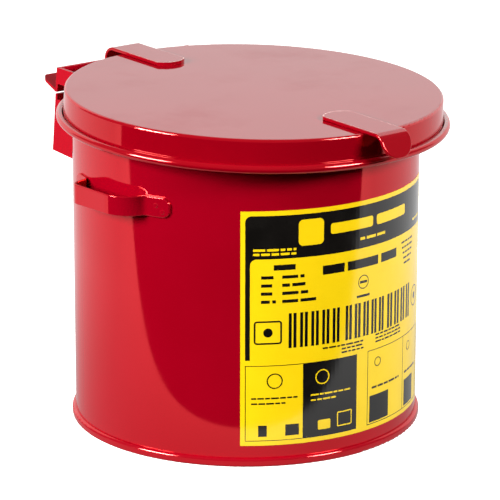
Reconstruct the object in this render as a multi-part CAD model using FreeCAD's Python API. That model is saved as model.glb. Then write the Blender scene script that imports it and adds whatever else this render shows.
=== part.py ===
import FreeCAD, Part
import math
import os

# Bench-top can for oily rags: a round sheet-steel body under a self-closing lid on a rear hinge.
# Millimetres. +Z is up, the origin is on the body's axis at the plane it stands on.
# The lift tab is at the front (-Y), the hinge at the back (+Y), the handles at -X and +X.

# ---- driving dimensions -------------------------------------------------------------------
BODY_RADIUS = 114.3            # 9 inch outside diameter
SHEET = 0.9                    # body, lid and pan sheet
PLATE = 2.0                    # hinge bracket plate
STRAP = 2.4                    # lift tab and rear strap
MOUTH_TOP = 216.8              # highest point of the rolled mouth
MOUTH_ROLL = 2.2               # outer radius of the rolled mouth's section
BODY_FOOT = 0.3                # shell and pan stop just above the floor

HOOP_PROUD = 2.4               # how far the bottom seam stands out of the body
HOOP_HEIGHT = 5.9
PAN_RISE = 6.0                 # underside of the recessed bottom

LID_CENTRE = (-7.97, 222.2)    # y and z of the lid's top centre, closed
LID_TILT = 2.36                # degrees, closed lid slopes down to the front
LID_TOP_RADIUS = 123.8
LID_DEPTH = 18.25              # lid top to the middle of the rolled rim
LID_CORNER = 1.8
RIM_RADIUS = 129.0             # outside of the rolled rim
RIM_ROLL = 2.7                 # outer radius of the rim's section
RIM_ROLL_STOP = 110            # degrees; the roll's edge stops short of the skirt
WIRE_SLACK = 0.06              # gap round a wire in its roll

TAB_WIDTH = 24.2
TAB_OFFSET = -2.7              # tab and rear strap sit a little to the left
TAB_NOSE = 15.0                # radius of a strap's rounded end
STRAP_EDGE = 0.8               # rounding of the long edges of both straps

BRACKET_HALF = 57.0            # half the width of both hinge brackets
NOTCH_HALF = 35.0              # half the width of the gap cut for the knuckles
NOTCH_DEPTH = 12.0             # the cut runs this far in front of, behind and above the pin
HINGE = (132.1, 203.3)         # y and z of the pin
PIN_RADIUS = 2.0
PIN_CLEARANCE = 0.05
KNUCKLE_RADIUS = 3.6
KNUCKLE_LENGTH = 12.0
KNUCKLE_COUNT = 5
KNUCKLE_GAP = 0.3
LEAF = 1.5                     # hinge leaf sheet
LEAF_HALF = 44.0
RIVET_REACH = 39.0             # rivets to each side of the middle
SWEEP_GAP = 0.5                # room round a turning knuckle

HANDLE_LOW = 161.3
HANDLE_HEIGHT = 12.8
HANDLE_STRIP = 1.9
HANDLE_REACH = 128.5           # outside of the grip, from the body's axis
HANDLE_EDGE = 0.6              # rounding of the strip's long edges
FOOT_LENGTH = 13.5
FOOT_CORNER = 5.0
LONG_END = (49.5, 27.0, 18.0)  # along the handle: end of the foot, grip corner, its bend radius
SHORT_END = (42.5, 21.0, 8.0)  # the same for the other end, bent more tightly
S_BEND_REACH = 4.0             # from the end of a foot to the corner where the strip lifts off
S_BEND = 6.0

LABEL_ANGLE = 42.0             # half angle, each side of the front
LABEL_LOW, LABEL_HIGH = 13.9, 168.5
LABEL_SHEET = 0.25

X_AXIS = FreeCAD.Vector(1, 0, 0)
Z_AXIS = FreeCAD.Vector(0, 0, 1)
ORIGIN = FreeCAD.Vector(0, 0, 0)
TINY = 1e-6

# The lid's own frame: origin at the lid's top centre, +Z out of its top.
LID_PLACE = FreeCAD.Placement(
    FreeCAD.Vector(0, *LID_CENTRE), FreeCAD.Rotation(X_AXIS, LID_TILT))


# ---- planes: a 2D point to its place in space ---------------------------------------------
def side_plane(point):
    return FreeCAD.Vector(0, point.x, point.y)


def front_plane(point):
    return FreeCAD.Vector(point.x, 0, point.y)


def top_plane(point):
    return FreeCAD.Vector(point.x, point.y, 0)


# ---- outlines -----------------------------------------------------------------------------
def corner_points(before, here, after, radius):
    """Start, middle and end of the arc that rounds one corner."""
    if radius == 0:
        return here, here, here
    back = (before - here).normalize()
    ahead = (after - here).normalize()
    half = back.getAngle(ahead) / 2
    reach = radius / math.tan(half)
    inward = (back + ahead).normalize() * (radius / math.sin(half) - radius)
    return here + back * reach, here + inward, here + ahead * reach


def closed_face(corners, plane):
    """Flat face with straight sides; each corner is (u, v) or (u, v, rounding radius)."""
    points = [FreeCAD.Vector(corner[0], corner[1], 0) for corner in corners]
    radii = [corner[2] if len(corner) > 2 else 0 for corner in corners]
    count = len(points)
    rounded = [corner_points(points[i - 1], points[i], points[(i + 1) % count], radii[i])
               for i in range(count)]
    edges = []
    for i in range(count):
        start, middle, end = rounded[i]
        if radii[i]:
            edges.append(Part.Arc(plane(start), plane(middle), plane(end)).toShape())
        following = rounded[(i + 1) % count][0]
        if (following - end).Length > TINY:
            edges.append(Part.makeLine(plane(end), plane(following)))
    return Part.Face(Part.Wire(edges))


def strip_corners(path, thickness):
    """Corners of a bent strip about its centre line; each path point is (u, v, bend radius)."""
    points = [FreeCAD.Vector(step[0], step[1], 0) for step in path]
    radii = [step[2] if len(step) > 2 else 0 for step in path]
    runs = [(points[i + 1] - points[i]).normalize() for i in range(len(points) - 1)]
    left_side = []
    right_side = []
    for i, point in enumerate(points):
        run_in = runs[max(i - 1, 0)]
        run_out = runs[min(i, len(runs) - 1)]
        normal_in = Z_AXIS.cross(run_in)
        spread = normal_in + Z_AXIS.cross(run_out)
        miter = spread * (thickness / 2 / spread.dot(normal_in))
        turn = math.copysign(thickness / 2, run_in.cross(run_out).z)
        left, right = point + miter, point - miter
        left_side.append((left.x, left.y, radii[i] - turn if radii[i] else 0))
        right_side.append((right.x, right.y, radii[i] + turn if radii[i] else 0))
    return left_side + right_side[::-1]


# ---- solids -------------------------------------------------------------------------------
def slab_x(corners, low, high):
    """Side outline (y, z) drawn out from x = low to x = high."""
    solid = closed_face(corners, side_plane).extrude(FreeCAD.Vector(high - low, 0, 0))
    solid.translate(FreeCAD.Vector(low, 0, 0))
    return solid


def slab_z(corners, low, high):
    """Plan outline (x, y) drawn up from z = low to z = high."""
    solid = closed_face(corners, top_plane).extrude(FreeCAD.Vector(0, 0, high - low))
    solid.translate(FreeCAD.Vector(0, 0, low))
    return solid


def slab_y(corners, low, high):
    """Front outline (x, z) drawn back from y = low to y = high."""
    solid = closed_face(corners, front_plane).extrude(FreeCAD.Vector(0, high - low, 0))
    solid.translate(FreeCAD.Vector(0, low, 0))
    return solid


def turned(corners):
    """Outline (radius, z) turned once round the Z axis."""
    return closed_face(corners, front_plane).revolve(ORIGIN, Z_AXIS, 360)


def rolled_edge(centre, height, outer, start, stop):
    """Hollow roll of sheet round a circular edge; start and stop are degrees in its section."""
    def at(radius, degrees):
        angle = math.radians(degrees)
        return FreeCAD.Vector(
            centre + radius * math.cos(angle), 0, height + radius * math.sin(angle))

    inner = outer - SHEET
    middle = (start + stop) / 2
    edges = [
        Part.Arc(at(outer, start), at(outer, middle), at(outer, stop)).toShape(),
        Part.makeLine(at(outer, stop), at(inner, stop)),
        Part.Arc(at(inner, stop), at(inner, middle), at(inner, start)).toShape(),
        Part.makeLine(at(inner, start), at(outer, start)),
    ]
    return Part.Face(Part.Wire(edges)).revolve(ORIGIN, Z_AXIS, 360)


def drum(radius, low, high):
    return Part.makeCylinder(radius, high - low, FreeCAD.Vector(0, 0, low), Z_AXIS)


def bar_x(centre, radius, low, high):
    """Round bar along X; centre is (y, z)."""
    return Part.makeCylinder(radius, high - low, FreeCAD.Vector(low, *centre), X_AXIS)


def softened(solid, radius, wanted):
    """Solid with the edges that pass the test rounded."""
    return solid.makeFillet(radius, [edge for edge in solid.Edges if wanted(edge)])


def placed(shape, placement):
    moved = shape.copy()
    moved.Placement = placement.multiply(moved.Placement)
    return moved


def on_lid(shape):
    """Shape modelled in the lid's own frame, moved to where the closed lid holds it."""
    return placed(shape, LID_PLACE)


def in_lid_frame(point):
    """(y, z) of a point in the lid's own frame."""
    local = LID_PLACE.inverse().multVec(FreeCAD.Vector(0, *point))
    return local.y, local.z


def save(node, shape):
    shape.removeSplitter().exportStep(f"parts/{node}.step")


# ---- the body -----------------------------------------------------------------------------
def body_shell():
    """Rolled sheet cylinder whose top edge is rolled inward round a wire."""
    roll_centre = BODY_RADIUS - MOUTH_ROLL
    roll_height = MOUTH_TOP - MOUTH_ROLL
    inside = BODY_RADIUS - SHEET
    wall = turned([(inside, BODY_FOOT), (BODY_RADIUS, BODY_FOOT),
                   (BODY_RADIUS, roll_height), (inside, roll_height)])
    return wall.fuse(rolled_edge(roll_centre, roll_height, MOUTH_ROLL, 0, 300))


def mouth_wire():
    ring = MOUTH_ROLL - SHEET - WIRE_SLACK
    return Part.makeTorus(BODY_RADIUS - MOUTH_ROLL, ring,
                          FreeCAD.Vector(0, 0, MOUTH_TOP - MOUTH_ROLL), Z_AXIS)


def bottom_pan():
    """Dished bottom, raised off the bench, with its flange down inside the shell."""
    outside = BODY_RADIUS - SHEET
    inside = outside - SHEET
    step = 14.0
    dish = 1.6
    floor = PAN_RISE
    return turned([
        (0, floor + dish), (inside - step, floor + dish, 6.0), (inside - step / 2, floor, 6.0),
        (inside, floor, 0.8), (inside, BODY_FOOT), (outside, BODY_FOOT),
        (outside, floor + SHEET, 0.8 + SHEET), (inside - step / 2, floor + SHEET, 6.0),
        (inside - step, floor + dish + SHEET, 6.0), (0, floor + dish + SHEET)])


def base_seam_hoop():
    """Folded seam that stands proud round the foot and touches the bench."""
    outside = BODY_RADIUS + HOOP_PROUD
    return turned([
        (BODY_RADIUS, 0), (outside, 0, 1.5), (outside, HOOP_HEIGHT, 2.2),
        (BODY_RADIUS, HOOP_HEIGHT)])


def handle_end(foot_end, grip_corner, bend):
    """Plan of one end of a handle, from the foot's tip to the corner of the grip."""
    foot_mid = BODY_RADIUS + HANDLE_STRIP / 2
    tip_angle = math.asin(foot_end / foot_mid)
    start_angle = math.asin((foot_end - FOOT_LENGTH) / foot_mid)
    mid_angle = (tip_angle + start_angle) / 2
    tangent_meet = foot_mid / math.cos((tip_angle - start_angle) / 2)
    tip = (foot_mid * math.cos(tip_angle), foot_mid * math.sin(tip_angle))
    arch = (tangent_meet * math.cos(mid_angle), tangent_meet * math.sin(mid_angle), foot_mid)
    lift_off = (foot_mid * math.cos(start_angle) + S_BEND_REACH * math.sin(start_angle),
                foot_mid * math.sin(start_angle) - S_BEND_REACH * math.cos(start_angle), S_BEND)
    grip = (HANDLE_REACH - HANDLE_STRIP / 2, grip_corner, bend)
    return [tip, arch, lift_off, grip]


def right_handle():
    """Flat strip with two curved feet, two S-bends and a straight grip."""
    top = HANDLE_LOW + HANDLE_HEIGHT
    short_half = [(x, -y, *bend) for x, y, *bend in reversed(handle_end(*SHORT_END))]
    path = handle_end(*LONG_END) + short_half
    strip = slab_z(strip_corners(path, HANDLE_STRIP), HANDLE_LOW, top)
    long_tip, short_tip = LONG_END[0], -SHORT_END[0]
    face_on = slab_x([
        (short_tip, HANDLE_LOW, FOOT_CORNER), (long_tip, HANDLE_LOW, FOOT_CORNER),
        (long_tip, top, FOOT_CORNER), (short_tip, top, FOOT_CORNER)], 0, 2 * BODY_RADIUS)
    cut_out = strip.common(face_on).removeSplitter().Solids[0]
    return softened(cut_out, HANDLE_EDGE, runs_round_outline)


def runs_round_outline(edge):
    """True for the long edges of a handle, not for the lines that cross its strip."""
    crosses_face = edge.BoundBox.ZLength > HANDLE_HEIGHT - FOOT_CORNER
    return not crosses_face and edge.Length > 1.5 * HANDLE_STRIP


def half_turn(shape):
    """Shape turned half way round the body's axis."""
    return placed(shape, FreeCAD.Placement(ORIGIN, FreeCAD.Rotation(Z_AXIS, 180)))


def handle_spot_welds(handle):
    """Two shallow weld buttons on each of the four feet."""
    button = 2.1
    proud = 0.45
    sunk = 0.5
    height = HANDLE_LOW + HANDLE_HEIGHT / 2
    foot_surface = BODY_RADIUS + HANDLE_STRIP
    buttons = []
    for side, foot_end in ((1, LONG_END[0]), (-1, SHORT_END[0])):
        for from_tip, lift in ((8.7, 1.2), (4.3, -2.6)):
            angle = math.asin(side * (foot_end - from_tip) / foot_surface)
            out = FreeCAD.Vector(math.cos(angle), math.sin(angle), 0)
            base = out * (foot_surface - sunk) + FreeCAD.Vector(0, 0, height + lift)
            cone = Part.makeCone(button, button * 0.6, sunk + proud, base, out)
            buttons.append(cone.cut(handle).cut(drum(foot_surface, 0, MOUTH_TOP)))
    both = buttons + [half_turn(button) for button in buttons]
    return Part.makeCompound([solid for shape in both for solid in shape.Solids])


def label_sheet():
    """Thin printed sheet, wrapped round the front of the body."""
    ring = drum(BODY_RADIUS + LABEL_SHEET, LABEL_LOW, LABEL_HIGH).cut(
        drum(BODY_RADIUS, LABEL_LOW, LABEL_HIGH))
    angle = math.radians(LABEL_ANGLE)
    far = 2 * BODY_RADIUS
    sector = slab_z([(0, 0), (-far * math.sin(angle), -far * math.cos(angle)),
                     (0, -2 * far), (far * math.sin(angle), -far * math.cos(angle))],
                    LABEL_LOW, LABEL_HIGH)
    return ring.common(sector)


# ---- hinge brackets and leaves ------------------------------------------------------------
def point_on(start, end, share):
    return (start[0] + share * (end[0] - start[0]), start[1] + share * (end[1] - start[1]))


def behind(start, end, depth):
    """Strip of plate on the front side of the line from start (top) to end (bottom)."""
    run = FreeCAD.Vector(end[0] - start[0], end[1] - start[1], 0).normalize()
    step = FreeCAD.Vector(run.y, -run.x, 0) * depth
    return [start, end, (end[0] + step.x, end[1] + step.y), (start[0] + step.x, start[1] + step.y)]


def shifted(start, end, depth):
    """The line from start to end moved forward, square to itself, by depth."""
    corners = behind(start, end, depth)
    return corners[3], corners[2]


LOWER_TOP = (132.75, HINGE[1] - 0.5)      # rear plate's outer face, top and bottom
LOWER_BOTTOM = (137.0, 162.6)
LOWER_EAR_TOP = 198.7
LOWER_EAR_DROP = 5.4                      # fall of an ear's lower edge, rear plate to EAR_FRONT
EAR_FRONT = 80.0                          # the ears are drawn this far forward, then cut by the wall

UPPER_TOP = (138.6, -6.8)                 # the same for the lid's bracket, in the lid's frame
UPPER_BOTTOM = (139.9, -23.7)
UPPER_EAR_BOTTOM = -18.1
FLAP_ANGLE = 22.0
FLAP_LENGTH = 18.6
FLAP_SHEET = 1.8
FLAP_CORNER = 6.5


def lower_hinge_bracket():
    """Channel on the body: a leaning rear plate between two side ears."""
    plate = slab_x(behind(LOWER_TOP, LOWER_BOTTOM, PLATE), -BRACKET_HALF, BRACKET_HALF)
    shoulder = point_on(LOWER_TOP, LOWER_BOTTOM,
                        (LOWER_TOP[1] - LOWER_EAR_TOP) / (LOWER_TOP[1] - LOWER_BOTTOM[1]))
    ear = [shoulder, LOWER_BOTTOM, (EAR_FRONT, LOWER_BOTTOM[1] - LOWER_EAR_DROP),
           (EAR_FRONT, shoulder[1])]
    channel = plate
    for low in (-BRACKET_HALF, BRACKET_HALF - PLATE):
        channel = channel.fuse(slab_x(ear, low, low + PLATE))
    front, back = HINGE[0] - NOTCH_DEPTH, HINGE[0] + NOTCH_DEPTH
    low, high = HINGE[1] - KNUCKLE_RADIUS - SWEEP_GAP, HINGE[1] + NOTCH_DEPTH
    notch = slab_x([(front, low), (back, low), (back, high), (front, high)],
                   -NOTCH_HALF, NOTCH_HALF)
    body = drum(BODY_RADIUS, 0, MOUTH_TOP)
    return channel.cut(notch).cut(body)


def upper_hinge_bracket(lid):
    """Channel on the lid, in the lid's frame; its rear plate is folded out into a stop flap."""
    pin_y, pin_z = in_lid_frame(HINGE)
    plate = slab_x(behind(UPPER_TOP, UPPER_BOTTOM, PLATE), -BRACKET_HALF, BRACKET_HALF)
    corner = point_on(UPPER_TOP, UPPER_BOTTOM,
                      (UPPER_TOP[1] - UPPER_EAR_BOTTOM) / (UPPER_TOP[1] - UPPER_BOTTOM[1]))
    roll_top = -LID_DEPTH + RIM_ROLL + 0.3
    ear = [UPPER_TOP, corner, (118.5, UPPER_EAR_BOTTOM), (117.0, roll_top),
           (EAR_FRONT, roll_top), (EAR_FRONT, UPPER_TOP[1])]
    channel = plate
    for low in (-BRACKET_HALF, BRACKET_HALF - PLATE):
        channel = channel.fuse(slab_x(ear, low, low + PLATE))
    trimmed = channel.fuse(stop_flap(pin_y, pin_z))
    reach = KNUCKLE_RADIUS + SWEEP_GAP
    barrel = bar_x((pin_y, pin_z), reach, -NOTCH_HALF, NOTCH_HALF)
    below = slab_x([(pin_y - 8, pin_z - 8), (pin_y + reach, pin_z - 8),
                    (pin_y + reach, pin_z), (pin_y, pin_z + reach), (pin_y - 8, pin_z + reach)],
                   -NOTCH_HALF, NOTCH_HALF)
    outside = trimmed.cut(barrel).cut(below).cut(lid)
    return max(outside.Solids, key=lambda solid: solid.Volume)


def stop_flap(pin_y, pin_z):
    """Flap along the foot of the rear plate; it meets the lower bracket with the lid open."""
    angle = math.radians(FLAP_ANGLE)
    along = FreeCAD.Vector(math.cos(angle), math.sin(angle), 0)
    across = FreeCAD.Vector(-math.sin(angle), math.cos(angle), 0)
    above_pin = 0.2
    root = FreeCAD.Vector(pin_y, pin_z, 0) + across * above_pin
    edge = root + along * FLAP_LENGTH
    corners = [root + along * 0.6, edge, edge + across * FLAP_SHEET, root + across * FLAP_SHEET]
    flat = slab_x([(point.x, point.y) for point in corners], -BRACKET_HALF, BRACKET_HALF)
    tip = pin_y + FLAP_LENGTH * math.cos(angle)
    seen_from_above = slab_z([
        (-BRACKET_HALF, pin_y - FLAP_LENGTH), (BRACKET_HALF, pin_y - FLAP_LENGTH),
        (BRACKET_HALF, tip, FLAP_CORNER), (-BRACKET_HALF, tip, FLAP_CORNER)],
        pin_z - FLAP_LENGTH, pin_z + FLAP_LENGTH)
    return flat.common(seen_from_above)


def knuckle_spans():
    """(low x, high x, True for an upper knuckle) along the pin."""
    start = -KNUCKLE_COUNT * KNUCKLE_LENGTH / 2
    spans = []
    for index in range(KNUCKLE_COUNT):
        low = start + index * KNUCKLE_LENGTH
        spans.append((low + KNUCKLE_GAP / 2, low + KNUCKLE_LENGTH - KNUCKLE_GAP / 2, index % 2 == 1))
    return spans


def hinge_leaf(centre, strip, is_upper):
    """Leaf with its share of the knuckles; clear of the other leaf's knuckles."""
    leaf = slab_x(strip, -LEAF_HALF, LEAF_HALF)
    reach = KNUCKLE_RADIUS + SWEEP_GAP
    room = bar_x(centre, reach, -LEAF_HALF, LEAF_HALF)
    own = []
    for low, high, upper in knuckle_spans():
        if upper != is_upper:
            continue
        own.append(bar_x(centre, KNUCKLE_RADIUS, low, high))
        own.append(slab_x(strip, low, high))
    solid = leaf.cut(room)
    for piece in own:
        solid = solid.fuse(piece)
    return solid.cut(bar_x(centre, PIN_RADIUS + PIN_CLEARANCE, -LEAF_HALF, LEAF_HALF))


def lower_hinge_leaf():
    """Leaf on the front of the lower bracket's rear plate."""
    top, bottom = shifted(LOWER_TOP, LOWER_BOTTOM, PLATE)
    foot = point_on(top, bottom, 0.55)
    return hinge_leaf(HINGE, behind(top, foot, LEAF), False)


def upper_hinge_leaf():
    """Leaf on the front of the upper bracket's rear plate, in the lid's frame."""
    top, bottom = shifted(UPPER_TOP, UPPER_BOTTOM, PLATE)
    head = point_on(top, bottom, 0.12)
    return hinge_leaf(in_lid_frame(HINGE), behind(head, bottom, LEAF), True)


def leaf_rivets(top, bottom, share):
    """Round-headed rivets through a leaf and its plate."""
    shank = 1.6
    head = 3.0
    head_height = 1.2
    middle = point_on(top, bottom, share)
    run = FreeCAD.Vector(0, bottom[0] - top[0], bottom[1] - top[1]).normalize()
    out = FreeCAD.Vector(0, -run.z, run.y)
    grip = PLATE + LEAF
    rivets = []
    for x in (-RIVET_REACH, RIVET_REACH):
        outer = FreeCAD.Vector(x, *middle)
        inner = outer - out * grip
        rivet = Part.makeCylinder(shank, grip, inner, out)
        rivet = rivet.fuse(Part.makeCone(head, head * 0.55, head_height, outer, out))
        rivet = rivet.fuse(Part.makeCone(head, head * 0.55, head_height, inner, -out))
        rivets.append(rivet)
    return Part.makeCompound(rivets)


def hinge_pin():
    half = KNUCKLE_COUNT * KNUCKLE_LENGTH / 2 + 2.6
    return softened(bar_x(HINGE, PIN_RADIUS, -half, half), 0.4, lambda edge: True)


def pin_caps(pin):
    """Push-on caps that keep the pin in the knuckles."""
    inner = KNUCKLE_COUNT * KNUCKLE_LENGTH / 2 + 0.3
    outer = inner + 3.4
    caps = []
    for low, high in ((inner, outer), (-outer, -inner)):
        tip = high if low > 0 else low
        cap = bar_x(HINGE, KNUCKLE_RADIUS - 0.4, low, high)
        rounded = softened(cap, 1.0, lambda edge: abs(edge.CenterOfMass.x - tip) < TINY)
        caps.append(rounded.cut(pin))
    return Part.makeCompound(caps)


def weld_beads(bracket, wall, spots):
    """Short fillet beads in the corner between the bracket's ears and a wall."""
    bead = 1.8
    beads = []
    for start, end in spots:
        run = end - start
        rod = Part.makeCylinder(bead, run.Length, start, run)
        ends = [Part.makeSphere(bead, point) for point in (start, end)]
        beads.append(rod.fuse(ends[0]).fuse(ends[1]).cut(bracket).cut(wall))
    solids = []
    for shape in beads:
        solids.append(max(shape.Solids, key=lambda solid: solid.Volume))
    return Part.makeCompound(solids)


def ear_corner(radius):
    """y where an ear's outer face meets a round wall."""
    return math.sqrt(radius ** 2 - BRACKET_HALF ** 2)


def lower_bracket_welds(bracket):
    y = ear_corner(BODY_RADIUS)
    spots = []
    for x in (-BRACKET_HALF, BRACKET_HALF):
        for low in (LOWER_BOTTOM[1] + 3.0, LOWER_EAR_TOP - 13.0):
            spots.append((FreeCAD.Vector(x, y, low), FreeCAD.Vector(x, y, low + 9.0)))
    return weld_beads(bracket, drum(BODY_RADIUS, 0, MOUTH_TOP), spots)


def upper_bracket_welds(bracket, lid):
    y = ear_corner(LID_TOP_RADIUS)
    spots = []
    for x in (-BRACKET_HALF, BRACKET_HALF):
        spots.append((FreeCAD.Vector(x, y, -13.5), FreeCAD.Vector(x, y, -8.5)))
    return weld_beads(bracket, lid, spots)


# ---- the lid, all in the lid's own frame --------------------------------------------------
def rim_centre():
    return RIM_RADIUS - RIM_ROLL


def lid_panel():
    """Flat top, short flared skirt and outward rolled rim."""
    foot_inside = rim_centre() - RIM_ROLL
    top_inside = LID_TOP_RADIUS - SHEET
    inner_corner = LID_CORNER - SHEET
    cap = turned([
        (0, -SHEET), (top_inside, -SHEET, inner_corner), (foot_inside, -LID_DEPTH),
        (foot_inside + SHEET, -LID_DEPTH), (LID_TOP_RADIUS, 0, LID_CORNER), (0, 0)])
    return cap.fuse(rolled_edge(rim_centre(), -LID_DEPTH, RIM_ROLL, -180, RIM_ROLL_STOP))


def lid_rim_wire():
    ring = RIM_ROLL - SHEET - WIRE_SLACK
    return Part.makeTorus(rim_centre(), ring, FreeCAD.Vector(0, 0, -LID_DEPTH), Z_AXIS)


def strap_solid(path, plan, face_on):
    """Bent strap cut to its plan and face outlines, its long edges softened."""
    left = TAB_OFFSET - TAB_WIDTH / 2
    strap = slab_x(strip_corners(path, STRAP), left, left + TAB_WIDTH)
    cut_out = strap.common(plan).common(face_on).removeSplitter().Solids[0]

    def runs_lengthwise(edge):
        return edge.Length > 1.4 * STRAP and edge.BoundBox.XLength < TAB_WIDTH - STRAP_EDGE / 2

    return softened(cut_out, STRAP_EDGE, runs_lengthwise)


def nose_plan(inner, outer):
    """Plan of a strap whose inner end is an arc and whose outer end is square."""
    left = TAB_OFFSET - TAB_WIDTH / 2
    right = TAB_OFFSET + TAB_WIDTH / 2
    sign = math.copysign(1, outer - inner)
    sagitta = TAB_NOSE - math.sqrt(TAB_NOSE ** 2 - (TAB_WIDTH / 2) ** 2)
    shoulder = inner + sign * sagitta
    arc = Part.Arc(FreeCAD.Vector(left, shoulder, 0), FreeCAD.Vector(TAB_OFFSET, inner, 0),
                   FreeCAD.Vector(right, shoulder, 0)).toShape()
    sides = Part.makePolygon([FreeCAD.Vector(right, shoulder, 0), FreeCAD.Vector(right, outer, 0),
                              FreeCAD.Vector(left, outer, 0), FreeCAD.Vector(left, shoulder, 0)])
    deep = 2 * LID_DEPTH
    plan = Part.Face(Part.Wire([arc] + sides.Edges)).extrude(FreeCAD.Vector(0, 0, 2 * deep))
    plan.translate(FreeCAD.Vector(0, 0, -deep))
    return plan


def tongue_outline(low, corner):
    """Front view of a strap whose lower end has rounded corners."""
    left = TAB_OFFSET - TAB_WIDTH / 2
    right = TAB_OFFSET + TAB_WIDTH / 2
    above = 2 * STRAP
    return slab_y([(left, low, corner), (right, low, corner), (right, above), (left, above)],
                  -2 * RIM_RADIUS, 2 * RIM_RADIUS)


def lift_tab():
    """Strap flat on the lid, over its front edge and bent down as a finger lift."""
    middle = STRAP / 2
    path = [(-70.0, middle), (-136.4, middle, 7.0), (-144.8, -15.5)]
    face_on = tongue_outline(-12.7, 10.5)
    return strap_solid(path, nose_plan(-78.0, -160), face_on)


def rear_strap():
    """Strap flat on the lid, over its rear edge and down the upper bracket's rear plate."""
    middle = STRAP / 2
    slack = 0.05
    plate_top, plate_bottom = shifted(UPPER_TOP, UPPER_BOTTOM, -middle - slack)
    depth = plate_top[1] - plate_bottom[1]
    corner = point_on(plate_top, plate_bottom, (plate_top[1] - middle) / depth)
    end = point_on(plate_top, plate_bottom, (plate_top[1] + 17.3) / depth)
    path = [(60.0, middle), (*corner, 7.8), end]
    face_on = tongue_outline(-17.0, 4.0)
    return strap_solid(path, nose_plan(77.7, 160), face_on)


# ---- write one file per piece -------------------------------------------------------------
os.makedirs("parts", exist_ok=True)

save("body_shell", body_shell())
save("mouth_wire", mouth_wire())
save("bottom_pan", bottom_pan())
save("base_seam_hoop", base_seam_hoop())
save("label_sheet", label_sheet())

HANDLE = right_handle()
save("right_handle", HANDLE)
save("left_handle", half_turn(HANDLE))
save("handle_spot_welds", handle_spot_welds(HANDLE))

LOWER_RIVETS = leaf_rivets(LOWER_TOP, LOWER_BOTTOM, 0.28)
LOWER_BRACKET = lower_hinge_bracket()
save("lower_hinge_bracket", LOWER_BRACKET.cut(LOWER_RIVETS))
save("lower_hinge_leaf", lower_hinge_leaf().cut(LOWER_RIVETS))
save("lower_leaf_rivets", LOWER_RIVETS)
save("lower_bracket_welds", lower_bracket_welds(LOWER_BRACKET))

PIN = hinge_pin()
save("hinge_pin", PIN)
save("hinge_pin_caps", pin_caps(PIN))

LID = lid_panel()
UPPER_RIVETS = leaf_rivets(UPPER_TOP, UPPER_BOTTOM, 0.42)
UPPER_BRACKET = upper_hinge_bracket(LID)
save("lid_panel", on_lid(LID))
save("lid_rim_wire", on_lid(lid_rim_wire()))
save("lift_tab", on_lid(lift_tab()))
save("rear_strap", on_lid(rear_strap()))
save("upper_hinge_bracket", on_lid(UPPER_BRACKET.cut(UPPER_RIVETS)))
save("upper_hinge_leaf", on_lid(upper_hinge_leaf().cut(UPPER_RIVETS)))
save("upper_leaf_rivets", on_lid(UPPER_RIVETS))
save("upper_bracket_welds", on_lid(upper_bracket_welds(UPPER_BRACKET, LID)))
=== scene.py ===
"""Bench-top can for oily rags: paint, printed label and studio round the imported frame. Metres."""
import math
import random

import bmesh
import bpy
from mathutils import Matrix, Vector
from mathutils.geometry import tessellate_polygon


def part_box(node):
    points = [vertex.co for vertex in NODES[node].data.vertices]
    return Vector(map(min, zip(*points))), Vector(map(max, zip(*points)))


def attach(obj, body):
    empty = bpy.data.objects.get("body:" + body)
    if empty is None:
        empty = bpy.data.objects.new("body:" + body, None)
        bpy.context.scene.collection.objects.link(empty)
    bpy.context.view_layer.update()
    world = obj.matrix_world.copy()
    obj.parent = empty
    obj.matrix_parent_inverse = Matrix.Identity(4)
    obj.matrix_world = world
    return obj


MM = 0.001
WHITE = (1.0, 1.0, 1.0, 1.0)

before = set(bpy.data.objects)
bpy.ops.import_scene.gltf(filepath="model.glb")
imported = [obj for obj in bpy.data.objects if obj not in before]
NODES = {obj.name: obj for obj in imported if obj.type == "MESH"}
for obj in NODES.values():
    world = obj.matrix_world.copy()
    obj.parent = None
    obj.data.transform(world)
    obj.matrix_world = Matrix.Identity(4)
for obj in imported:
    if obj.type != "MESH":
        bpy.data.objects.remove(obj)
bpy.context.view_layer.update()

# ---- the camera ---------------------------------------------------------------------------
CAMERA_AZIMUTH = -40.38            # degrees, 0 looks along +Y
CAMERA_ELEVATION = 16.0
CAMERA_ROLL = 0.14
CAMERA_DISTANCE = 1.9265
CAMERA_LENS = 208.33               # millimetres, as is the sensor
SENSOR = 36.0
CLIP_NEAR, CLIP_FAR = 0.05, 50.0
LOOK_AT = Vector((0.0021, -0.0018, 0.1109))

# ---- the studio, which turns with the camera ----------------------------------------------
# Places are from the foot of the can's axis, +X to the camera's right and -Y toward it.
CAN_MIDDLE = Vector((0.0, 0.0, 0.12))
KEY_PLACE = (-1.82, -1.05, 0.95)
KEY_SIZE = (0.95, 0.8)
KEY_WATTS = 103.0
KEY_GLINT_SIZE = (0.8, 0.5)
FILL_PLACE = (1.5, -1.05, 1.05)
FILL_SIZE = (0.7, 0.5)
FILL_WATTS = 55.0
FILL_GLINT_SIZE = (0.55, 0.35)
GLINT_STRENGTH = 75.0
BACK_WALL_PLACE = (0.0, 2.6, 1.5)
BACK_WALL_SIZE = (9.0, 3.4)
BACK_WALL_STRENGTH = 1.36
CARD_TINT = (1.0, 0.985, 0.975, 1.0)
ROOM_LIGHT = 0.22                  # the world's strength, except where the camera sees it

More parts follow.
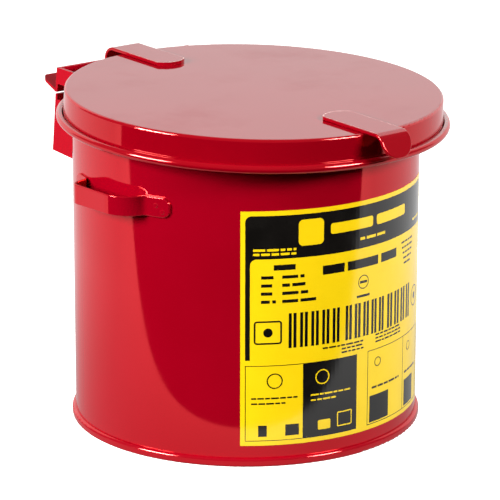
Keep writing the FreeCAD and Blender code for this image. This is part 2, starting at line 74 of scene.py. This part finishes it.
FLOOR_SIZE = 16.0
FLOOR_SCALE = 3.0                  # faint blotches, in repeats per metre
FLOOR_EVEN = 0.98                  # share of FLOOR_TONE even in the dullest of them
FLOOR_TONE = (0.93, 0.93, 0.92, 1.0)
FLOOR_DULL = (0.90, 0.90, 0.90, 1.0)
FLOOR_LIFT = 0.85                  # glow added to the floor that the camera sees
TABLE_EDGE = 0.187                 # the lit table ends this far in front of the can's axis
TABLE_EDGE_BLUR = 0.001
EDGE_LIGHT = 0.35                  # extra light at the table's front edge
EDGE_LIGHT_END = 0.05              # it has faded out this far in front of the can's axis
SHADOWED_FOOT_LIGHT, OPEN_LIGHT = 0.62, 1.05        # the table by the can's foot, dimmed as a painted shadow of the can, and away from it
FOOT_REACH, OPEN_REACH = 0.12, 0.45        # how far from the axis each of them holds
TABLE_BOUNCE = 0.12                # share of the table's light that dull surfaces receive

# ---- finishes, linear colours -------------------------------------------------------------
RED_DEEP = (0.280, 0.0002, 0.0070, 1.0)
RED_BRIGHT = (0.305, 0.0003, 0.0090, 1.0)
RED_BRACKET = (0.33, 0.0004, 0.0080, 1.0)
RED_THIN = (0.50, 0.03, 0.04, 1.0)
# The lid and its straps: the body's red a shade deeper, painted shade for the weak light on the lid's
# top.
RED_LID_SHADED = (0.245, 0.0002, 0.0050, 1.0)
RED_LID_SHADED_BRIGHT = (0.260, 0.0002, 0.0060, 1.0)
RED_INSIDE = (0.22, 0.0004, 0.0050, 1.0)
RED_SPECK = (0.12, 0.004, 0.006, 1.0)
# pale colour of a painted highlight along the straps' top edges
PAINTED_EDGE_HIGHLIGHT = (0.98, 0.70, 0.62, 1.0)
GLOSS_TINT = (1.0, 0.10, 0.09, 1.0)
ENAMEL_IOR = 2.6                   # strong reflections, tinted red
SATIN_IOR = 1.45
LID_TOP_IOR = 1.45
STRAP_TOP_IOR = 1.42
THIN_RIM = (0.7 * MM, RED_THIN, 0.6)       # width, colour and amount of thin paint at edges
# the straps' rim: a pale painted highlight along their top edges, not thin paint
STRAP_HIGHLIGHT_RIM = (2.0 * MM, PAINTED_EDGE_HIGHLIGHT, 1.8)
FILM_YELLOW = (0.79, 0.54, 0.005, 1.0)
FILM_YELLOW_DEEP = (0.74, 0.50, 0.003, 1.0)
INK_BLACK = (0.004, 0.0034, 0.003, 1.0)
INK_BLACK_WORN = (0.008, 0.007, 0.006, 1.0)
ZINC = (0.62, 0.62, 0.60, 1.0)
ZINC_DULL = (0.40, 0.40, 0.39, 1.0)

# Scales of the finishes' detail, in repeats per metre, heights of relief and ranges of roughness.
FILM_SCALE = 16.0
SHEET_SCALE, SHEET_WAVE = 11.0, 0.03 * MM
LID_SCALE, LID_WAVE = 17.0, 0.09 * MM
EDGE_MARK_SCALE = 260.0
EDGE_MARK_NONE, EDGE_MARK_FULL = 0.35, 0.8           # the edge mark's noise (thin paint, or the straps' painted highlight) below and above which this holds
PEEL_SCALE, PEEL_HEIGHT = 330.0, 0.003 * MM
HAZE_SCALE = 40.0
PAINT_SMOOTH, PAINT_ROUGH = 0.045, 0.085
GLOSS_SCALE = 13.0
GLOSS_SHINY, GLOSS_DULL = 0.50, 0.66       # the gloss's noise below and above which this holds
SPECK_SCALE, SPECK_HEIGHT = 95.0, 0.05 * MM
SPECK_EDGE, SPECK_CORE = 0.045, 0.02       # a speck fades in between these, as parts of a cell
SPECK_RARE, SPECK_FULL = 0.90, 0.93        # only cells whose random tone is this high have one
SPECK_DARKNESS = 0.7
BLOTCH_SCALE = 180.0
DRAWN_SCALE, DRAWN_HEIGHT = 1400.0, 0.01 * MM
ZINC_SMOOTH, ZINC_ROUGH = 0.28, 0.5
COAT_SCALE, INK_GRAIN_SCALE = 60.0, 1500.0
COAT_THIN, COAT_THICK = 0.35, 0.65         # the ink's noise below and above which this holds
RIPPLE_SCALE, RIPPLE_HEIGHT = 22.0, 0.02 * MM
FILM_GRAIN_SCALE, FILM_GRAIN_HEIGHT = 420.0, 0.002 * MM
FILM_SMOOTH, FILM_ROUGH = 0.10, 0.15
FILM_GLOSS = 0.55
NOISE_LOW, NOISE_HIGH = 0.3, 0.7           # nearly all of a noise lies between these
EDGE_NONE, EDGE_FULL = 0.995, 0.85         # match of the true and the softened normal at an edge
WALL_SLOPE, TOP_SLOPE = 0.8, 0.97          # upward part of the normal on a wall and on a top


# ---- node helpers -------------------------------------------------------------------------
class Nodes:
    """The node tree of one material or world; add() makes a node and wires its inputs."""

    def __init__(self, tree):
        self.tree = tree
        tree.nodes.clear()

    def add(self, kind, inputs=None, **settings):
        node = self.tree.nodes.new("ShaderNode" + kind)
        for name, value in settings.items():
            setattr(node, name, value)
        for key, value in (inputs or {}).items():
            if isinstance(value, bpy.types.NodeSocket):
                self.tree.links.new(value, node.inputs[key])
            else:
                node.inputs[key].default_value = value
        return node

    def place(self):
        return self.add("TexCoord").outputs["Object"]

    def noise(self, scale, detail=2.0, roughness=0.5):
        inputs = {"Vector": self.place(), "Scale": scale, "Detail": detail, "Roughness": roughness}
        return self.add("TexNoise", inputs).outputs["Fac"]

    def math(self, operation, first, second):
        return self.add("Math", {0: first, 1: second}, operation=operation).outputs[0]

    def span(self, value, low, high, new_low=0.0, new_high=1.0):
        inputs = {"Value": value, "From Min": low, "From Max": high,
                  "To Min": new_low, "To Max": new_high}
        return self.add("MapRange", inputs).outputs["Result"]

    def mix(self, factor, first, second):
        inputs = {"Fac": factor, "Color1": first, "Color2": second}
        return self.add("MixRGB", inputs).outputs["Color"]

    def bump(self, height, distance, normal=None):
        inputs = {"Height": height, "Distance": distance}
        if normal is not None:
            inputs["Normal"] = normal
        return self.add("Bump", inputs).outputs["Normal"]

    def edges(self, radius):
        """1 within about a radius of an edge, 0 on flat faces."""
        soft = self.add("Bevel", {"Radius": radius}, samples=4).outputs["Normal"]
        sharp = self.add("NewGeometry").outputs["Normal"]
        match = self.add("VectorMath", {0: soft, 1: sharp}, operation="DOT_PRODUCT").outputs["Value"]
        return self.span(match, EDGE_NONE, EDGE_FULL)

    def upward(self):
        """1 on faces that look up, 0 on walls."""
        normal = self.add("NewGeometry").outputs["Normal"]
        height = self.add("SeparateXYZ", {"Vector": normal}).outputs["Z"]
        return self.span(height, WALL_SLOPE, TOP_SLOPE)

    def surface(self, **inputs):
        """Ends the tree in one Principled shader; underscores in names stand for spaces."""
        named = {key.replace("_", " "): value for key, value in inputs.items()}
        shader = self.add("BsdfPrincipled", named)
        self.add("OutputMaterial", {"Surface": shader.outputs["BSDF"]})


def new_material(name):
    material = bpy.data.materials.new(name)
    material.use_nodes = True
    return material, Nodes(material.node_tree)


# ---- finishes -----------------------------------------------------------------------------
def dust_specks(nodes):
    """1 in a few small specks of dust under the paint, 0 elsewhere."""
    cells = nodes.add("TexVoronoi", {"Vector": nodes.place(), "Scale": SPECK_SCALE})
    speck = nodes.span(cells.outputs["Distance"], SPECK_EDGE, SPECK_CORE)
    chosen = nodes.span(cells.outputs["Color"], SPECK_RARE, SPECK_FULL)
    return nodes.math("MULTIPLY", speck, chosen)


def gloss_paint(name, deep, bright, wave=SHEET_WAVE, wave_scale=SHEET_SCALE, shine=0.5, dullest=0.5,
                ior=ENAMEL_IOR, top_ior=None, rim=THIN_RIM):
    """Baked gloss enamel on sheet steel: slow sheet waves, fine orange peel, and a rim colour at the
    edges: thin paint, or a pale painted highlight on the straps.

    The reflection is tinted and changes in strength from shine to dullest in patches. With a top_ior,
    upward faces reflect white by it, and only they get the rim colour at the edges."""
    rim_width, rim_colour, rim_amount = rim
    tint = GLOSS_TINT
    material, nodes = new_material(name)
    film = nodes.span(nodes.noise(FILM_SCALE, 3.0), NOISE_LOW, NOISE_HIGH)
    colour = nodes.mix(film, deep, bright)
    patchy = nodes.span(nodes.noise(EDGE_MARK_SCALE, 4.0), EDGE_MARK_NONE, EDGE_MARK_FULL)
    # The rim mask: thin paint at the edges, and on the straps a painted highlight.
    thin_paint_and_highlight = nodes.math("MULTIPLY", nodes.edges(rim_width), patchy)
    if top_ior:
        upward = nodes.upward()
        thin_paint_and_highlight = nodes.math("MULTIPLY", thin_paint_and_highlight, upward)
        ior = nodes.span(upward, 0.0, 1.0, ior, top_ior)
        tint = nodes.mix(upward, GLOSS_TINT, WHITE)
    colour = nodes.mix(nodes.math("MULTIPLY", thin_paint_and_highlight, rim_amount), colour, rim_colour)
    specks = dust_specks(nodes)
    colour = nodes.mix(nodes.math("MULTIPLY", specks, SPECK_DARKNESS), colour, RED_SPECK)

    waves = nodes.bump(nodes.noise(wave_scale, 1.0), wave)
    peel = nodes.bump(nodes.noise(PEEL_SCALE), PEEL_HEIGHT, waves)
    relief = nodes.bump(specks, SPECK_HEIGHT, peel)
    haze = nodes.span(nodes.noise(HAZE_SCALE, 4.0), NOISE_LOW, NOISE_HIGH, PAINT_SMOOTH, PAINT_ROUGH)
    gloss = nodes.span(nodes.noise(GLOSS_SCALE, 5.0, 0.6), GLOSS_SHINY, GLOSS_DULL, shine, dullest)
    nodes.surface(Base_Color=colour, Roughness=haze, IOR=ior, Specular_IOR_Level=gloss,
                  Specular_Tint=tint, Normal=relief)
    return material


def zinc_wire(name):
    """Dull zinc plate: soft blotches and fine grain."""
    material, nodes = new_material(name)
    blotch = nodes.span(nodes.noise(BLOTCH_SCALE, 5.0, 0.6), NOISE_LOW, NOISE_HIGH)
    grain = nodes.bump(nodes.noise(DRAWN_SCALE, 3.0), DRAWN_HEIGHT)
    rough = nodes.span(blotch, 0.0, 1.0, ZINC_SMOOTH, ZINC_ROUGH)
    nodes.surface(Base_Color=nodes.mix(blotch, ZINC, ZINC_DULL), Metallic=1.0, Roughness=rough,
                  Normal=grain)
    return material


def printed_film(name, colour, second):
    """Gloss laminated film: a little unevenness in the ink and ripples in the film."""
    material, nodes = new_material(name)
    coat = nodes.span(nodes.noise(COAT_SCALE, 3.0), COAT_THIN, COAT_THICK)
    grain = nodes.span(nodes.noise(INK_GRAIN_SCALE), NOISE_LOW, NOISE_HIGH)
    tone = nodes.mix(nodes.math("MULTIPLY", coat, grain), colour, second)
    ripple = nodes.bump(nodes.noise(RIPPLE_SCALE), RIPPLE_HEIGHT)
    relief = nodes.bump(nodes.noise(FILM_GRAIN_SCALE), FILM_GRAIN_HEIGHT, ripple)
    rough = nodes.span(coat, 0.0, 1.0, FILM_SMOOTH, FILM_ROUGH)
    nodes.surface(Base_Color=tone, Roughness=rough, Specular_IOR_Level=FILM_GLOSS, Normal=relief)
    return material


# ---- flat shapes for the label's print ----------------------------------------------------
# Print is laid out flat in millimetres: u runs right from the label's centre line, v runs up
# from its lower edge. A shape is a list of outlines, the outer one first and then its holes.
LABEL_LOW, LABEL_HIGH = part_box("label_sheet")
LABEL_RADIUS = -LABEL_LOW.y / MM
LABEL_HALF = LABEL_RADIUS * math.asin(LABEL_HIGH.x / MM / LABEL_RADIUS)
LABEL_TALL = (LABEL_HIGH.z - LABEL_LOW.z) / MM
INK = 0.04                         # thickness of one layer of print
CUT_EVERY = 3.0                    # wide print is cut this often so that it follows the curve
ARC_STEP = 12.0                    # degrees between points on a drawn arc
SHORTEST_BAR, LONGEST_BAR, BAR_GAP = 1.8, 5.2, 0.75        # times the height of a line of print
UPRIGHT_GAP = 1.2                  # between pairs of uprights, times an upright's width


def arc(u, v, radius, start, stop):
    """Points on an arc, in degrees from +u, turning either way."""
    count = max(2, math.ceil(abs(stop - start) / ARC_STEP))
    angles = [math.radians(start + (stop - start) * step / count) for step in range(count + 1)]
    return [(u + radius * math.cos(angle), v + radius * math.sin(angle)) for angle in angles]


def box_outline(left, low, right, high, corner=0.0):
    """The outline of a rectangle, with rounded corners where a corner radius is given."""
    if corner == 0:
        return [(left, low), (right, low), (right, high), (left, high)]
    points = []
    for u, v, start in ((right, high, 0), (left, high, 90), (left, low, 180), (right, low, 270)):
        inner_u = u - math.copysign(corner, u - (left + right) / 2)
        inner_v = v - math.copysign(corner, v - (low + high) / 2)
        points += arc(inner_u, inner_v, corner, start, start + 90)
    return points


def box(left, low, right, high, corner=0.0):
    return [box_outline(left, low, right, high, corner)]


def frame_line(left, low, right, high, line, corner=0.0):
    """A rectangle drawn as a line of the given width."""
    inner = box_outline(left + line, low + line, right - line, high - line, max(corner - line, 0))
    return [box_outline(left, low, right, high, corner), inner]


def disc(u, v, radius):
    return [arc(u, v, radius, 0, 360)[:-1]]


def ring(u, v, radius, line):
    return disc(u, v, radius) + disc(u, v, radius - line)


def word_bars(left, base, right, height, seed):
    """A line of small print, as plain bars of uneven length."""
    lengths = random.Random(seed)
    bars = []
    start = left
    while start < right - height:
        stop = min(right, start + height * lengths.uniform(SHORTEST_BAR, LONGEST_BAR))
        bars.append(box(start, base, stop, base + height))
        start = stop + height * BAR_GAP
    return bars


def tall_bars(left, low, right, high, pairs, line):
    """A word of large print, as pairs of plain uprights."""
    gap = UPRIGHT_GAP * line
    wide = (right - left - (pairs - 1) * gap) / pairs
    bars = []
    for pair in range(pairs):
        start = left + pair * (wide + gap)
        bars.append(box(start, low, start + line, high))
        bars.append(box(start + wide - line, low, start + wide, high))
    return bars


# ---- print as raised pieces wrapped round the can -----------------------------------------
def flat_mesh(shapes):
    """The shapes as one flat mesh, in millimetres."""
    mesh = bmesh.new()
    for outlines in shapes:
        loops = [[Vector((u, v, 0)) for u, v in outline] for outline in outlines]
        corners = [mesh.verts.new(point) for loop in loops for point in loop]
        for triangle in tessellate_polygon(loops):
            mesh.faces.new([corners[index] for index in triangle])
    bmesh.ops.recalc_face_normals(mesh, faces=mesh.faces)
    return mesh


def cut_to_bend(mesh):
    """Cuts a flat mesh into upright strips, narrow enough to follow the can's curve."""
    cut = -LABEL_HALF + CUT_EVERY
    while cut < LABEL_HALF:
        everything = mesh.verts[:] + mesh.edges[:] + mesh.faces[:]
        bmesh.ops.bisect_plane(mesh, geom=everything, plane_co=(cut, 0, 0), plane_no=(1, 0, 0))
        cut += CUT_EVERY


def wrapped(u, v, lift):
    """The place on the can of a flat point on the label, lifted off its surface."""
    angle = u / LABEL_RADIUS
    radius = (LABEL_RADIUS + lift) * MM
    return Vector((radius * math.sin(angle), -radius * math.cos(angle), LABEL_LOW.z + v * MM))


def raise_and_wrap(mesh, layer):
    """Gives a flat mesh the ink's thickness and wraps it round the can, over lower layers."""
    raised = bmesh.ops.extrude_face_region(mesh, geom=mesh.faces[:])["geom"]
    for item in raised:
        if isinstance(item, bmesh.types.BMVert):
            item.co.z = INK
    for vertex in mesh.verts:
        vertex.co = wrapped(vertex.co.x, vertex.co.y, vertex.co.z + layer * INK)
    bmesh.ops.recalc_face_normals(mesh, faces=mesh.faces)


def print_on_label(name, shapes, material, layer=0):
    """One piece of print, which rides on the can's body."""
    mesh = flat_mesh(shapes)
    cut_to_bend(mesh)
    raise_and_wrap(mesh, layer)
    data = bpy.data.meshes.new(name)
    mesh.to_mesh(data)
    mesh.free()
    data.materials.append(material)
    piece = bpy.data.objects.new(name, data)
    bpy.context.scene.collection.objects.link(piece)
    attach(piece, "can_body")


# ---- the label's layout -------------------------------------------------------------------
# Places are u and v in millimetres. A box is given as left, low, right, high.
BORDER = 3.0
FIELD = LABEL_HALF - BORDER        # half width inside the yellow border
HEADER_TOP = LABEL_TALL - BORDER
HEADER_FOOT = 123.5
HEADER_CORNER = 4.0
SIDE_BAR = 3.0                     # width of the black bar down the left side
SIDE_BAR_FOOT = 57.0
TITLE_LOW, TITLE_HIGH = 136.5, 143.5
NAME_LOW, NAME_HIGH = 110.5, 116.5
WORDS_LOW, WORDS_HIGH = 64.5, 87.5
PANEL_LOW, PANEL_HIGH = 3.0, 53.5
PANEL_CIRCLES = 43.0               # height of the circles in the two left panels
PANEL_LINES = (31.0, 27.5)         # heights of their two lines of small print
HAIRLINE = 0.45
THIN_PEN = 0.6
PEN = 0.8
FINE_PRINT = 1.1                   # heights of the lines of small print
SMALL_PRINT = 1.5
TABLE_PRINT = 2.1


def header_outline():
    """Black header with a side bar hanging from its left end; the field's corner is rounded."""
    corner = HEADER_CORNER
    left, right = -FIELD, FIELD
    top_left = arc(left + corner, HEADER_TOP - corner, corner, 180, 90)
    field_left = left + SIDE_BAR
    field_corner = arc(field_left + corner, HEADER_FOOT - corner, corner, 90, 180)
    outline = [(left, SIDE_BAR_FOOT)] + top_left + [(right, HEADER_TOP), (right, HEADER_FOOT)]
    return [outline + field_corner + [(field_left, SIDE_BAR_FOOT)]]


def print_header(black, yellow):
    """The black header with a plain square mark, two bars for a title and lines of small print."""
    print_on_label("label_header", [header_outline()], black)
    mark_left, mark_low, mark_side = -47.0, 131.0, 17.0
    mark = [box(mark_left, mark_low, mark_left + mark_side, mark_low + mark_side, corner=3.0)]
    print_on_label("label_header_mark", mark, yellow, layer=1)

    title_bars = ((-25.0, 9.0), (12.5, 46.0))
    title = [box(left, TITLE_LOW, right, TITLE_HIGH, corner=1.6) for left, right in title_bars]
    title += word_bars(-2.0, 129.0, 24.0, height=1.8, seed=1)
    print_on_label("label_header_bars", title, yellow, layer=1)

    note_left, note_right = -76.0, -48.5
    note = word_bars(note_left, 128.6, note_right, SMALL_PRINT, seed=2)
    note += word_bars(note_left, 125.8, note_right, SMALL_PRINT, seed=3)
    note += word_bars(61.0, 128.0, 78.0, SMALL_PRINT, seed=4)
    print_on_label("label_header_note", note, yellow, layer=1)


def print_table(black):
    """A short heading over four rows in two columns."""
    table = word_bars(-63.0, 116.0, -46.5, height=3.6, seed=5)
    first_row, row_step = 110.4, 5.3
    for row in range(4):
        base = first_row - row * row_step
        table += word_bars(-71.0, base, -61.5, TABLE_PRINT, seed=10 + row)
        table += word_bars(-57.5, base, -43.0 + 3.0 * row, TABLE_PRINT, seed=20 + row)
    print_on_label("label_table_bars", table, black)


def print_name(black):
    """Three bars for the object's name, a round badge under them and a side note that tapers."""
    name_bars = ((-30.4, -14.5), (-12.0, 14.5), (17.5, 35.0))
    name = [box(left, NAME_LOW, right, NAME_HIGH) for left, right in name_bars]
    print_on_label("label_name_bars", name, black)

    badge = [ring(1.2, 101.0, 4.6, THIN_PEN)]
    badge += [box(-2.0, 100.2, 4.4, 101.8), box(-4.4, 91.0, 6.8, 92.6)]
    print_on_label("label_badge", badge, black)

    side_note = []
    for row in range(5):
        side_note += word_bars(42.0 + row, 117.0 - row * 3.6, 62.0 - row, height=1.3, seed=30 + row)
    print_on_label("label_side_note", side_note, black)


def print_words(black):
    """Three words of large print, a framed dot before them, a ringed dot after, small print under."""
    words = tall_bars(-53.2, WORDS_LOW, -17.8, WORDS_HIGH, pairs=5, line=2.0)
    words += tall_bars(-13.2, WORDS_LOW, 21.0, WORDS_HIGH, pairs=5, line=2.0)
    words += tall_bars(25.0, WORDS_LOW, 56.5, WORDS_HIGH, pairs=4, line=2.3)
    print_on_label("label_word_bars", words, black)

    marks = [frame_line(-75.5, 67.5, -57.5, 83.0, line=1.1, corner=2.0), disc(-66.5, 75.2, 3.0)]
    marks += [ring(68.0, 75.5, 7.2, PEN), disc(68.0, 75.5, 2.4)]
    print_on_label("label_round_marks", marks, black)

    small = []
    line_step = 2.4
    for row in range(3):
        left = -30.0 if row == 0 else -16.0
        small += word_bars(left, 61.2 - row * line_step, 2.0, FINE_PRINT, seed=40 + row)
        small += word_bars(13.0, 62.5 - row * line_step, 42.0, FINE_PRINT, seed=50 + row)
    print_on_label("label_small_print", small, black)


def print_panels(black, yellow):
    """The row of panels along the label's foot, each with plain shapes and lines of small print."""
    left, middle, right = -FIELD, -43.0, -3.6
    upper_line, lower_line = PANEL_LINES
    first = [frame_line(left, PANEL_LOW, middle, PANEL_HIGH, HAIRLINE)]
    first += [ring(-62.0, PANEL_CIRCLES, 5.2, PEN)]
    first += [box(-72.5, 6.0, -67.0, 13.5), box(-55.0, 6.0, -46.0, 13.5)]
    first += word_bars(-77.0, upper_line, -47.0, FINE_PRINT, seed=60)
    first += word_bars(-77.0, lower_line, -55.0, FINE_PRINT, seed=61)
    print_on_label("label_first_panel", first, black)

    print_on_label("label_second_panel", [box(middle, PANEL_LOW, right, PANEL_HIGH)], black)
    second = [ring(-30.0, PANEL_CIRCLES, 5.0, PEN)]
    second += [frame_line(-19.0, 7.5, -7.5, 17.5, PEN, corner=1.0)]
    second += [box(-33.0, 7.5, -24.0, 14.0, corner=1.0)]
    second += word_bars(-38.0, upper_line, -9.0, FINE_PRINT, seed=62)
    second += word_bars(-38.0, lower_line, -20.0, FINE_PRINT, seed=63)
    print_on_label("label_second_print", second, yellow, layer=1)

    boxes_left, divider, boxes_right = 5.8, 46.5, 78.0
    boxes = [frame_line(boxes_left, PANEL_LOW, boxes_right, PANEL_HIGH, HAIRLINE)]
    boxes += [box(divider, PANEL_LOW + HAIRLINE, divider + HAIRLINE, PANEL_HIGH - HAIRLINE)]
    boxes += [ring(15.5, 44.5, 3.2, THIN_PEN), ring(56.0, 44.5, 3.2, THIN_PEN)]
    boxes += [box(8.0, 4.4, 27.5, 22.4), box(49.5, 4.4, 66.5, 22.4)]
    boxes += word_bars(10.0, 27.0, 41.0, height=1.4, seed=64)
    boxes += word_bars(50.0, 27.0, 72.0, height=1.4, seed=65)
    print_on_label("label_box_panels", boxes, black)


def print_label(black, yellow):
    """All the print: plain colour fields, bars for every line of text, and plain shapes."""
    print_header(black, yellow)
    print_table(black)
    print_name(black)
    print_words(black)
    print_panels(black, yellow)


# ---- the studio ---------------------------------------------------------------------------
def make_camera():
    """A long lens to the left of the can and a little above it."""
    azimuth, elevation = math.radians(CAMERA_AZIMUTH), math.radians(CAMERA_ELEVATION)
    back = Vector((math.sin(azimuth) * math.cos(elevation),
                   -math.cos(azimuth) * math.cos(elevation), math.sin(elevation)))
    data = bpy.data.cameras.new("camera")
    data.lens = CAMERA_LENS
    data.sensor_width = SENSOR
    data.clip_start = CLIP_NEAR
    data.clip_end = CLIP_FAR
    camera = bpy.data.objects.new("camera", data)
    bpy.context.scene.collection.objects.link(camera)
    turn = (-back).to_track_quat("-Z", "Y").to_matrix().to_4x4()
    roll = Matrix.Rotation(math.radians(CAMERA_ROLL), 4, "Z")
    camera.matrix_world = Matrix.Translation(LOOK_AT + back * CAMERA_DISTANCE) @ turn @ roll
    bpy.context.scene.camera = camera
    return camera


def make_rig(camera):
    """An empty on the can's axis whose -Y always faces the camera."""
    rig = bpy.data.objects.new("studio_rig", None)
    bpy.context.scene.collection.objects.link(rig)
    follow = rig.constraints.new("LOCKED_TRACK")
    follow.target = camera
    follow.track_axis = "TRACK_NEGATIVE_Y"
    follow.lock_axis = "LOCK_Z"
    return rig


def softbox(rig, name, place, size, watts):
    """A rectangular light aimed at the middle of the can."""
    data = bpy.data.lights.new(name, "AREA")
    data.shape = "RECTANGLE"
    data.size, data.size_y = size
    data.energy = watts
    light = bpy.data.objects.new(name, data)
    bpy.context.scene.collection.objects.link(light)
    light.parent = rig
    light.location = place
    light.rotation_mode = "QUATERNION"
    light.rotation_quaternion = (CAN_MIDDLE - Vector(place)).to_track_quat("-Z", "Y")


def glow_card(rig, name, place, size, strength):
    """A bright panel facing the can, seen only in reflections."""
    bpy.ops.mesh.primitive_plane_add(size=1.0)
    card = bpy.context.object
    card.name = name
    card.scale = (*size, 1)
    card.parent = rig
    card.location = place
    card.rotation_mode = "QUATERNION"
    card.rotation_quaternion = (CAN_MIDDLE - Vector(place)).to_track_quat("Z", "Y")
    card.visible_camera = False
    card.visible_diffuse = False
    card.visible_shadow = False
    material, nodes = new_material(name)
    light = nodes.add("Emission", {"Color": CARD_TINT, "Strength": strength})
    nodes.add("OutputMaterial", {"Surface": light.outputs["Emission"]})
    card.data.materials.append(material)


def table_light(nodes):
    """How bright the table looks in the can: dark past its front edge and dimmer by the foot, a
    painted shadow of the can.
    """
    place = nodes.place()
    across = nodes.add("SeparateXYZ", {"Vector": place}).outputs["Y"]
    flat = nodes.add("VectorMath", {0: place, 1: (1, 1, 0)}, operation="MULTIPLY").outputs["Vector"]
    away = nodes.add("VectorMath", {0: flat}, operation="LENGTH").outputs["Value"]
    on_table = nodes.span(across, -TABLE_EDGE - TABLE_EDGE_BLUR, -TABLE_EDGE + TABLE_EDGE_BLUR)
    near_edge = nodes.span(across, -TABLE_EDGE, -EDGE_LIGHT_END, EDGE_LIGHT, 0.0)
    foot_shadow_light = nodes.span(away, FOOT_REACH, OPEN_REACH, SHADOWED_FOOT_LIGHT, OPEN_LIGHT)
    return nodes.math("MULTIPLY", nodes.math("ADD", foot_shadow_light, near_edge), on_table)


def make_floor(rig):
    """A pale floor. The camera sees plain floor; the can sees a lit table with a front edge."""
    bpy.ops.mesh.primitive_plane_add(size=FLOOR_SIZE)
    floor = bpy.context.object
    floor.name = "floor"
    floor.parent = rig
    material, nodes = new_material("floor")
    path = nodes.add("LightPath")
    grain = nodes.span(nodes.noise(FLOOR_SCALE), NOISE_LOW, NOISE_HIGH, FLOOR_EVEN, 1.0)
    matt = nodes.add("BsdfDiffuse", {"Color": nodes.mix(grain, FLOOR_DULL, FLOOR_TONE)})
    lift = nodes.add("Emission", {"Color": FLOOR_TONE, "Strength": FLOOR_LIFT})
    seen = nodes.add("AddShader", {0: matt.outputs["BSDF"], 1: lift.outputs["Emission"]})
    light = table_light(nodes)
    glow = nodes.add("Emission", {"Strength": light})
    bounce = nodes.add("Emission", {"Strength": nodes.math("MULTIPLY", light, TABLE_BOUNCE)})
    unseen = nodes.add("MixShader", {0: path.outputs["Is Glossy Ray"], 1: bounce.outputs["Emission"],
                                     2: glow.outputs["Emission"]})
    both = nodes.add("MixShader", {0: path.outputs["Is Camera Ray"], 1: unseen.outputs["Shader"],
                                   2: seen.outputs["Shader"]})
    nodes.add("OutputMaterial", {"Surface": both.outputs["Shader"]})
    floor.data.materials.append(material)


def make_world():
    """Even white light, full where the camera sees it and dim elsewhere."""
    world = bpy.data.worlds.new("studio")
    bpy.context.scene.world = world
    world.use_nodes = True
    nodes = Nodes(world.node_tree)
    path = nodes.add("LightPath")
    strength = nodes.span(path.outputs["Is Camera Ray"], 0.0, 1.0, ROOM_LIGHT, 1.0)
    glow = nodes.add("Background", {"Color": WHITE, "Strength": strength})
    nodes.add("OutputWorld", {"Surface": glow.outputs["Background"]})


def make_studio():
    """Camera, floor, room, two soft lights with their glints, and a pale wall behind the can."""
    camera = make_camera()
    rig = make_rig(camera)
    make_floor(rig)
    make_world()
    glow_card(rig, "back_wall", BACK_WALL_PLACE, BACK_WALL_SIZE, BACK_WALL_STRENGTH)
    softbox(rig, "key_softbox", KEY_PLACE, KEY_SIZE, KEY_WATTS)
    softbox(rig, "fill_softbox", FILL_PLACE, FILL_SIZE, FILL_WATTS)
    glow_card(rig, "key_glint", KEY_PLACE, KEY_GLINT_SIZE, GLINT_STRENGTH)
    glow_card(rig, "fill_glint", FILL_PLACE, FILL_GLINT_SIZE, GLINT_STRENGTH)
    bpy.context.scene.view_settings.view_transform = "Standard"


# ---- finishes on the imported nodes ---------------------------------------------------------
def finish_nodes(yellow):
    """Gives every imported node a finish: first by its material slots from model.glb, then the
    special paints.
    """
    by_slot = {
        "red_paint": gloss_paint("red_gloss_paint", RED_DEEP, RED_BRIGHT),
        "inside_paint": gloss_paint("red_inside_paint", RED_INSIDE, RED_DEEP),
        "bare_steel": zinc_wire("zinc_wire"),
        "label_film": yellow,
    }
    for node in NODES.values():
        for index, slot in enumerate(node.material_slots):
            node.data.materials[index] = by_slot[slot.material.name]

    # The lid's and straps' paint is a shade deeper than the body's: painted shade on the lid's top.
    lid = gloss_paint("red_gloss_lid", RED_LID_SHADED, RED_LID_SHADED_BRIGHT, LID_WAVE, LID_SCALE, dullest=0.34,
                      top_ior=LID_TOP_IOR)
    # The straps' rim colour is a painted highlight along their top edges.
    strap = gloss_paint("red_strap_paint", RED_LID_SHADED, RED_LID_SHADED_BRIGHT, dullest=0.4,
                        top_ior=STRAP_TOP_IOR, rim=STRAP_HIGHLIGHT_RIM)
    bracket = gloss_paint("red_bracket_paint", RED_BRACKET, RED_BRACKET, shine=0.08, dullest=0.05,
                          ior=SATIN_IOR)
    special = {
        "lid_panel": lid,
        "lift_tab": strap,
        "rear_strap": strap,
        "lower_hinge_bracket": bracket,
        "upper_hinge_bracket": bracket,
        "lower_hinge_leaf": bracket,
        "upper_hinge_leaf": bracket,
    }
    for name, paint in special.items():
        NODES[name].data.materials[0] = paint


yellow_film = printed_film("yellow_film", FILM_YELLOW, FILM_YELLOW_DEEP)
black_print = printed_film("black_print", INK_BLACK, INK_BLACK_WORN)
finish_nodes(yellow_film)
print_label(black_print, yellow_film)
make_studio()
